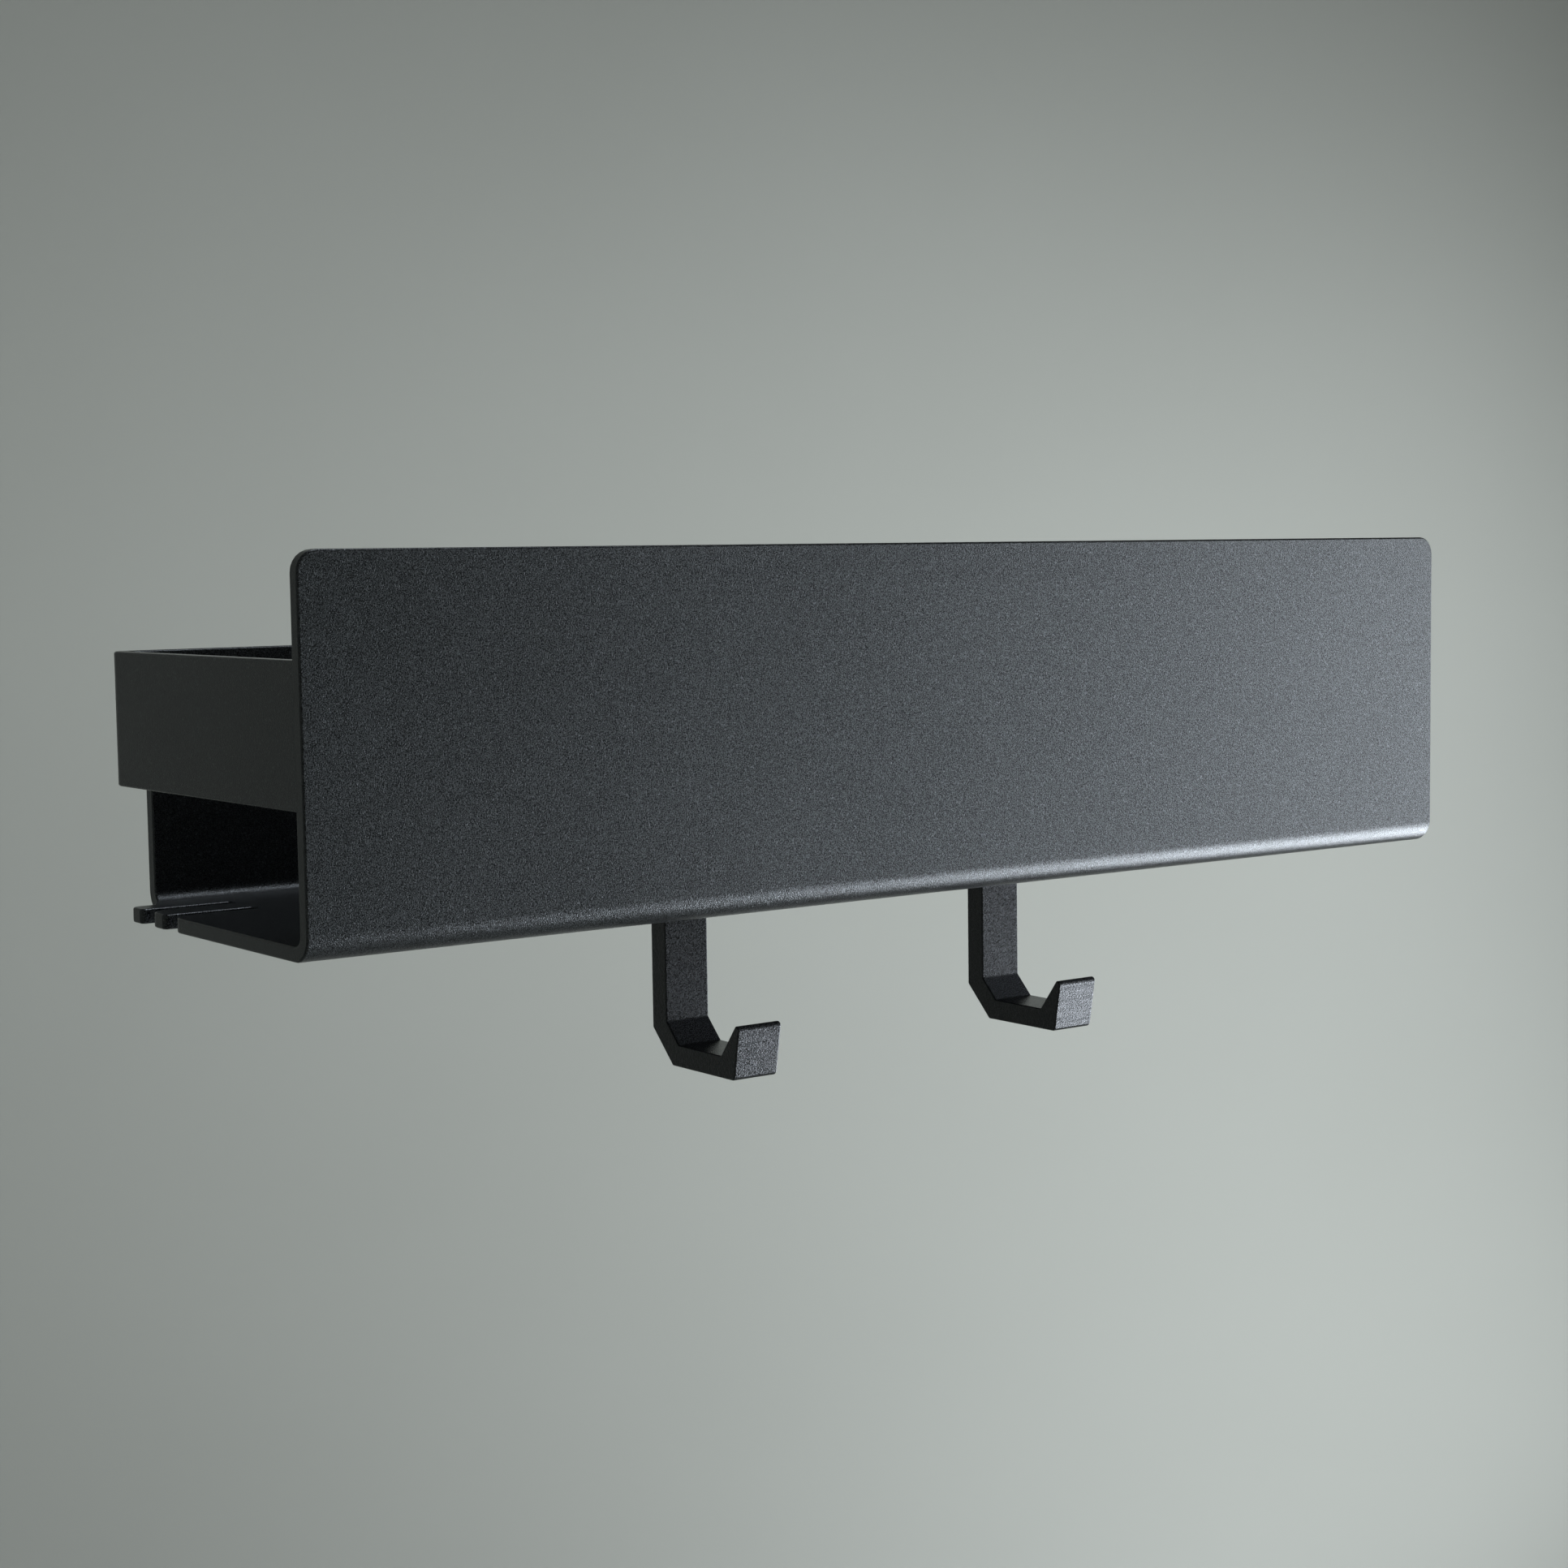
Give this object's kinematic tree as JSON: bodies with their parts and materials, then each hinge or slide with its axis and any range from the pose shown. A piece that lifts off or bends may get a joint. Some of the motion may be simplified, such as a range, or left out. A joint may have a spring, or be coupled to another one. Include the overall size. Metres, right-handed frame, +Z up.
{
  "type": "salon styling station shelf",
  "caption": "Wall-hung styling shelf: a folded plate tray with a tall front panel, folded end wings, cord slots in the floor's ends and faceted hooks underneath for tools.",
  "frame": {"origin": "on the wall plane, midway between the two wall screw holes", "axes": "+X along the shelf to the right as seen from the room, +Y into the wall, +Z up"},
  "size_m": [0.4, 0.1155, 0.1453],
  "materials": {
    "black_texture": "fine textured matt black powder coat",
    "black_hook": "fine textured matt black powder coat",
    "black_steel": "black zinc plating"
  },
  "bodies": {
    "root": {"shelf_body": "black_texture", "left_hook": "black_hook", "left_hook_front_screw": "black_steel", "left_hook_front_screw_washer": "black_steel", "left_hook_front_screw_nut": "black_steel", "left_hook_rear_screw": "black_steel", "left_hook_rear_screw_washer": "black_steel", "left_hook_rear_screw_nut": "black_steel", "right_hook": "black_hook", "right_hook_front_screw": "black_steel", "right_hook_front_screw_washer": "black_steel", "right_hook_front_screw_nut": "black_steel", "right_hook_rear_screw": "black_steel", "right_hook_rear_screw_washer": "black_steel", "right_hook_rear_screw_nut": "black_steel"}
  },
  "joints": []
}
